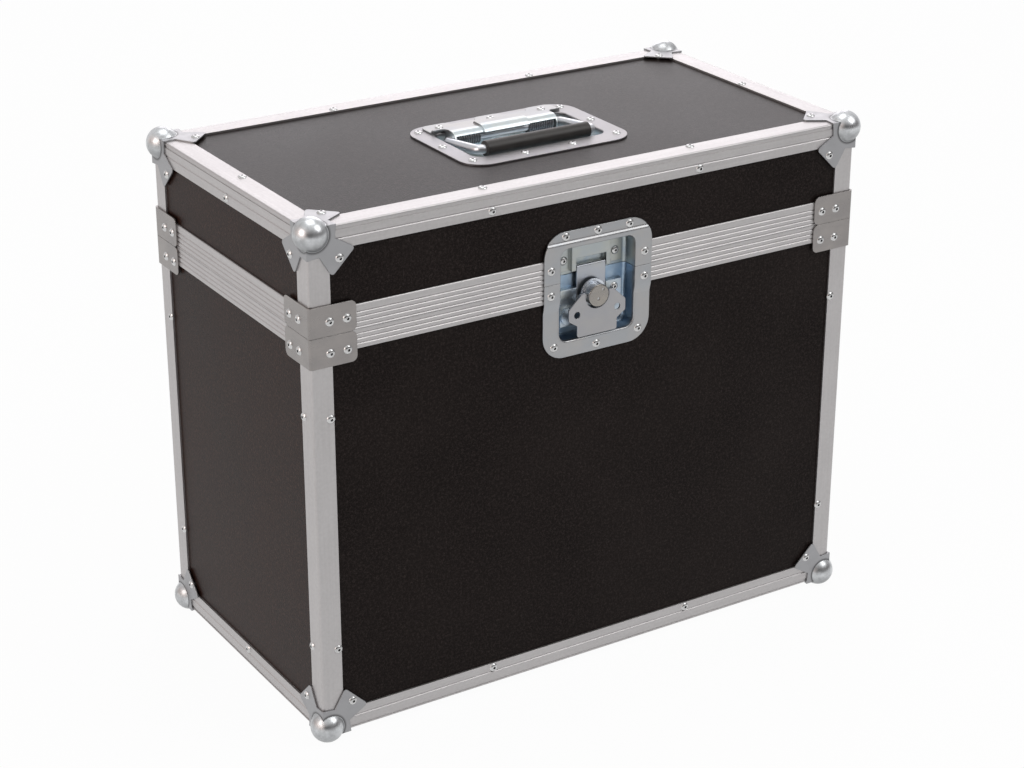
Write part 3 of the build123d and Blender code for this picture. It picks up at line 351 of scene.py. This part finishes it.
# painted highlight: the bracket's rolled front is painted paler than its plate
bracketRollHighlight = dict(
    axis=1, lip=rollFront + 0.012, floor=rollFront + 0.007,
    deep=(0.56, 0.62, 0.65), pale=(0.62, 0.66, 0.66), dull=-0.06,
)
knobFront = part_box("latch_knob")[0][1]
# painted highlight: the knob's side behind its face is painted pale
knobSideHighlight = dict(
    axis=1, lip=knobFront + 0.0004, floor=knobFront + 0.0012,
    deep=(0.62, 0.66, 0.72), pale=(0.80, 0.81, 0.80), dull=0.04,
)
lowerDish = makeZinc("lowerDish", tintAndLight=latchPan)
upperDish = makeZinc("upperDish", 0.9, catchPan)
dishZinc = makeZinc("dishZinc", 5.3, handlePanLight, cool=(0.29, 0.285, 0.30), warm=(0.32, 0.31, 0.315), rough=0.42)
bracketZinc = makeZinc(
    "bracketZinc", 4.1, bracketRollHighlight, cool=(0.31, 0.315, 0.325), warm=(0.34, 0.335, 0.33), rough=0.38,
)
catchZinc = makeZinc("catchZinc", 0.2, cool=(0.37, 0.40, 0.41), warm=(0.41, 0.42, 0.39), rough=0.32)
plateZinc = makeZinc("plateZinc", 0.3, cool=(0.46, 0.55, 0.66), warm=(0.54, 0.58, 0.58), rough=0.40)
hookZinc = makeZinc("hookZinc", 0.5, cool=(0.37, 0.39, 0.43), warm=(0.40, 0.41, 0.42), rough=0.30)
wingZinc = makeZinc("wingZinc", 0.7, cool=(0.345, 0.345, 0.36), warm=(0.37, 0.365, 0.37), rough=0.36)
knobSteel = makeZinc("knobSteel", 1.1, knobSideHighlight, cool=(0.27, 0.255, 0.24), warm=(0.33, 0.305, 0.275), rough=0.24)
braceSteel = makeZinc(
    "braceSteel", 1.7, cool=(0.265, 0.25, 0.245), warm=(0.305, 0.285, 0.275), rough=0.30, relief=0.05,
)
rodSteel = makeZinc("rodSteel", 2.3, cool=(0.54, 0.56, 0.60), warm=(0.60, 0.605, 0.62), rough=0.30)
springSteel = makeZinc("springSteel", 2.9, cool=(0.22, 0.235, 0.26), warm=(0.30, 0.30, 0.31), rough=0.30)
rivetSteel = makeRivet()
hingeSteel = makeZinc("hingeSteel", 3.7, rough=0.32)
gripRubber = makeGrip()
openFoam = makeFoam()
lowBalls = makeBall("lowBalls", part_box("body_bottom_front_profile")[0][2], 1)
highBalls = makeBall("highBalls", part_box("lid_top_front_profile")[1][2], -1)


def finishFor(name):
    if name.startswith("foam_"):
        return openFoam
    if name.endswith("_panel"):
        return endFilm if "left" in name or "right" in name else boardFilm
    if name.endswith(("_profile", "_closing_rail")):
        return barAlongX if "front" in name or "back" in name else barAlongY
    if name.endswith("_corner_angles"):
        return barAlongZ
    named = {
        "body_ball_corners": lowBalls, "lid_ball_corners": highBalls,
        "body_rivets": rivetSteel, "lid_rivets": rivetSteel,
        "body_corner_braces": braceSteel, "lid_corner_braces": braceSteel,
        "latch_lower_dish": lowerDish, "latch_upper_dish": upperDish, "latch_catch_plate": catchZinc,
        "latch_hook": hookZinc, "latch_wing": wingZinc, "latch_knob": knobSteel,
        "handle_grip": gripRubber, "handle_bail": rodSteel, "handle_dish": dishZinc, "handle_bracket": bracketZinc,
        "handle_left_spring": springSteel, "handle_right_spring": springSteel,
    }
    if name in named:
        return named[name]
    return hingeSteel if name.startswith("hinge_") else plateZinc


for name, node in frame["nodes"].items():
    finish = finishFor(name)
    if node.data.materials:
        for index in range(len(node.data.materials)):
            node.data.materials[index] = finish
    else:
        node.data.materials.append(finish)
print("finishes on the frame")


# foam linings: the slabs with soft cut edges
foamBodies = {
    "foam_base_pad": "case_body", "foam_front_lining": "case_body", "foam_back_lining": "case_body",
    "foam_left_lining": "case_body", "foam_right_lining": "case_body", "foam_lid_pad": "lid",
}


def makeFoamSlab(name, body):
    mesh = frame["nodes"][name].data.copy()
    piece = bpy.data.objects.new(name.replace("foam_", "") + "_foam", mesh)
    bpy.context.scene.collection.objects.link(piece)
    remesh = piece.modifiers.new("remesh", "REMESH")
    remesh.mode = "VOXEL"
    remesh.voxel_size = foam["voxel"]
    soften = piece.modifiers.new("soften", "SMOOTH")
    soften.factor = foam["softness"]
    soften.iterations = foam["soften"]
    graph = bpy.context.evaluated_depsgraph_get()
    solid = bpy.data.meshes.new_from_object(piece.evaluated_get(graph))
    piece.modifiers.clear()
    piece.data = solid
    solid.materials.clear()
    solid.materials.append(openFoam)
    for polygon in solid.polygons:
        polygon.use_smooth = True
    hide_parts(name)
    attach(piece, body)


for name, body in foamBodies.items():
    makeFoamSlab(name, body)
print("foam linings made")


# camera where the photographer stood
view = dict(place=(-1.0328, -1.6509, 1.0667), turn=-32.158, tilt=23.574, roll=0.0875, lens=82.07, sensor=36.0)


def makeCamera():
    turn, tilt, roll = (math.radians(view[key]) for key in ("turn", "tilt", "roll"))
    back = Vector((math.sin(turn) * math.cos(tilt), -math.cos(turn) * math.cos(tilt), math.sin(tilt)))
    right = Vector((0, 0, 1)).cross(back).normalized()
    up = back.cross(right)
    across = right * math.cos(roll) + up * math.sin(roll)
    upward = up * math.cos(roll) - right * math.sin(roll)
    data = bpy.data.cameras.new("camera")
    data.sensor_width = view["sensor"]
    data.lens = view["lens"]
    camera = bpy.data.objects.new("camera", data)
    bpy.context.scene.collection.objects.link(camera)
    axes = Matrix((across, upward, back)).transposed().to_4x4()
    camera.matrix_world = Matrix.Translation(view["place"]) @ axes
    bpy.context.scene.camera = camera


makeCamera()


# soft studio light: overhead, wide behind the case, from the left, and high in front
lamps = dict(
    overhead=dict(place=(0.0, 0.25, 2.3), aim=0.3, size=1.2, power=10.0, colour=(1, 1, 1)),
    behind=dict(place=(1.45, 2.35, 1.6), aim=0.45, size=2.0, power=19.0, colour=(1, 0.95, 0.985)),
    left=dict(place=(-2.4, -0.3, 1.3), aim=0.25, size=1.3, power=16.0, colour=(1, 0.91, 0.87)),
    front=dict(place=(1.15, -1.35, 2.0), aim=0.25, size=1.4, power=16.0, colour=(1, 1, 1)),
)


def makeLamp(name, lamp):
    data = bpy.data.lights.new(name, "AREA")
    data.shape = "SQUARE"
    data.size = lamp["size"]
    data.energy = lamp["power"]
    data.color = lamp["colour"]
    lampObject = bpy.data.objects.new(name, data)
    bpy.context.scene.collection.objects.link(lampObject)
    place = Vector(lamp["place"])
    lampObject.location = place
    sight = Vector((0, 0, lamp["aim"])) - place
    lampObject.rotation_euler = sight.to_track_quat("-Z", "Y").to_euler()


for name, lamp in lamps.items():
    makeLamp(name, lamp)

# the room that metal mirrors: pale above and behind, warm on the left, dark in front, darkest low by the camera
room = dict(
    fill=0.36, above=(0.80, 0.80, 0.80), behind=(0.84, 0.83, 0.84), front=(0.16, 0.15, 0.15),
    left=(0.92, 0.78, 0.72), gloom=(0.05, 0.05, 0.05), toward=(-0.52, -0.84, 0.12),
)


def makeRoom():
    world = bpy.data.worlds.new("room")
    bpy.context.scene.world = world
    world.use_nodes = True
    f = Finish("room", world.node_tree)
    path = f.add("ShaderNodeLightPath").socket.node
    camera = Wire(f, path.outputs["Is Camera Ray"])
    shiny = Wire(f, path.outputs["Is Glossy Ray"]).top(Wire(f, path.outputs["Is Transmission Ray"]))
    around = f.add("ShaderNodeTexCoord", out="Generated")
    x, y, z = f.parts(around)
    seen = f.blend(f.span(y, -0.45, 0.35), room["front"], room["behind"])
    seen = f.blend(f.span(x, -0.85, -0.35, 1.0, 0.0), seen, room["left"])
    seen = f.blend(f.span(z, 0.35, 0.80), seen, room["above"])
    toGloom = f.add("ShaderNodeVectorMath", {"operation": "DOT_PRODUCT"}, {0: around, 1: room["toward"]}, "Value")
    seen = f.blend(f.span(toGloom, 0.88, 0.95), seen, room["gloom"])
    white = (1.0, 1.0, 1.0)
    colour = f.blend(camera, f.blend(shiny, white, seen), white)
    strength = room["fill"] + shiny * (1.0 - room["fill"])
    light = f.add("ShaderNodeBackground", None, {"Color": colour, "Strength": strength.top(camera)})
    f.add("ShaderNodeOutputWorld", None, {0: light})


makeRoom()

# pale floor that the camera and the metal see as white, with the object's shadow on it
floor = dict(half=6.0, white=0.96, colour=(0.86, 0.86, 0.86))


def makeFloor():
    mesh = bpy.data.meshes.new("floor")
    reach = floor["half"]
    level = cadBox[0][2]
    corners = [(x * reach, y * reach, level) for x, y in ((-1, -1), (1, -1), (1, 1), (-1, 1))]
    mesh.from_pydata(corners, [], [(0, 1, 2, 3)])
    piece = bpy.data.objects.new("floor", mesh)
    bpy.context.scene.collection.objects.link(piece)
    f = Finish("paleFloor")
    path = f.add("ShaderNodeLightPath").socket.node
    seen = Wire(f, path.outputs["Is Camera Ray"]).top(Wire(f, path.outputs["Is Glossy Ray"]))
    seen = seen.top(Wire(f, path.outputs["Is Transmission Ray"]))
    paint = f.add("ShaderNodeBsdfDiffuse", None, {"Color": (*floor["colour"], 1)})
    white = f.add("ShaderNodeEmission", None, {"Color": (1, 1, 1, 1), "Strength": 1.0})
    shader = f.add("ShaderNodeMixShader", None, {0: seen * floor["white"], 1: paint, 2: white})
    f.add("ShaderNodeOutputMaterial", None, {0: shader})
    mesh.materials.append(f.material)


makeFloor()
bpy.context.scene.view_settings.view_transform = "Standard"
print("camera, lamps and floor set")
